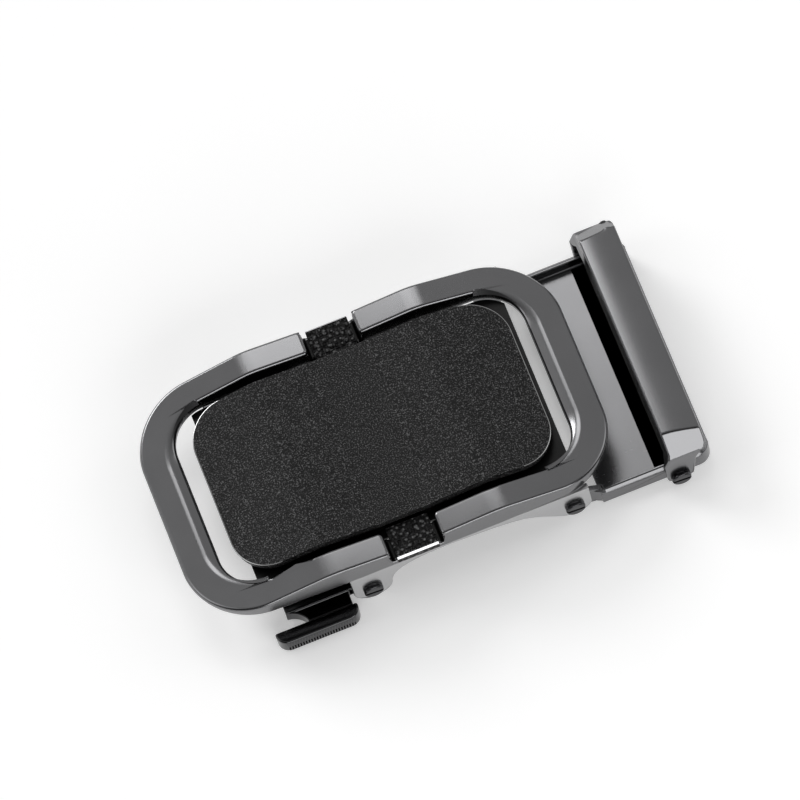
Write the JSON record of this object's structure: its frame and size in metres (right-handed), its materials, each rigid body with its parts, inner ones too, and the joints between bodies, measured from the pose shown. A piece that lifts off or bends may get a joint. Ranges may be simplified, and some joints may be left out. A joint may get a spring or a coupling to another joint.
{
  "type": "automatic ratchet belt buckle",
  "caption": "Automatic ratchet belt buckle: faceted ring face round a textured plate, sprung release lever below, hinged clamp tray and tipping clamp loop for the strap's end.",
  "frame": {"origin": "bottom centre of the whole buckle's bounding box; z = 0 is the plane it rests on, face up", "axes": "+X along the belt towards the clamp end, +Y across the belt away from the thumb lever, +Z out of the face"},
  "size_m": [0.0792, 0.0438, 0.013],
  "materials": {
    "face_ring": "polished dark gunmetal plating over die-cast zinc",
    "carrier": "plain dark plated steel",
    "centre_plate": "sand-textured matte black coating with a bare rim",
    "side_tab_near": "black cross-cut face with a polished outer edge",
    "side_tab_far": "black cross-cut face with a polished outer edge",
    "plate_rivets": "plain rivet heads",
    "lever_axle": "blackened steel with slotted heads",
    "axle_washers": "plain washers",
    "hinge_screws": "blackened slotted screws",
    "lever_plate": "gloss black nickel plating",
    "thumb_piece": "gloss black nickel plating, ribbed outer edge",
    "pawl": "hardened steel strip",
    "pawl_rivets": "plain rivet heads",
    "return_spring": "drawn spring wire",
    "clamp_tray": "polished gunmetal plating",
    "tooth_plate": "dark plated pressed steel",
    "tooth_rivets": "plain rivet heads",
    "loop_screws": "blackened slotted screws",
    "clamp_loop": "polished dark gunmetal plating",
    "grip_strip": "dark plated pressed steel",
    "grip_pins": "plain rivet heads"
  },
  "bodies": {
    "frame": {"face_ring": "face_ring", "carrier": "carrier", "centre_plate": "centre_plate", "side_tab_near": "side_tab_near", "side_tab_far": "side_tab_far", "plate_rivets": "plate_rivets", "lever_axle": "lever_axle", "axle_washers": "axle_washers", "hinge_screws": "hinge_screws"},
    "release_lever": {"lever_plate": "lever_plate", "thumb_piece": "thumb_piece", "pawl": "pawl", "pawl_rivets": "pawl_rivets", "return_spring": "return_spring"},
    "clamp_tray": {"clamp_tray": "clamp_tray", "tooth_plate": "tooth_plate", "tooth_rivets": "tooth_rivets", "loop_screws": "loop_screws"},
    "clamp_loop": {"clamp_loop": "clamp_loop", "grip_strip": "grip_strip", "grip_pins": "grip_pins"}
  },
  "joints": [
    {"name": "lever_hinge", "type": "hinge", "parent": "frame", "child": "release_lever", "pos_m": [-0.01438, 0.0009, 0.0033], "axis": [0, 1, 0], "range_deg": [-22, 0], "stiffness_Nm_per_rad": 0.05, "springref_deg": 20.05, "deforming": ["return_spring"]},
    {"name": "tray_hinge", "type": "hinge", "parent": "frame", "child": "clamp_tray", "pos_m": [0.01773, 0.0009, 0.0042], "axis": [0, 1, 0], "range_deg": [-15, 60]},
    {"name": "loop_hinge", "type": "hinge", "parent": "clamp_tray", "child": "clamp_loop", "pos_m": [0.03402, 0.0009, 0.00175], "axis": [0, 1, 0], "range_deg": [-15, 40]}
  ]
}
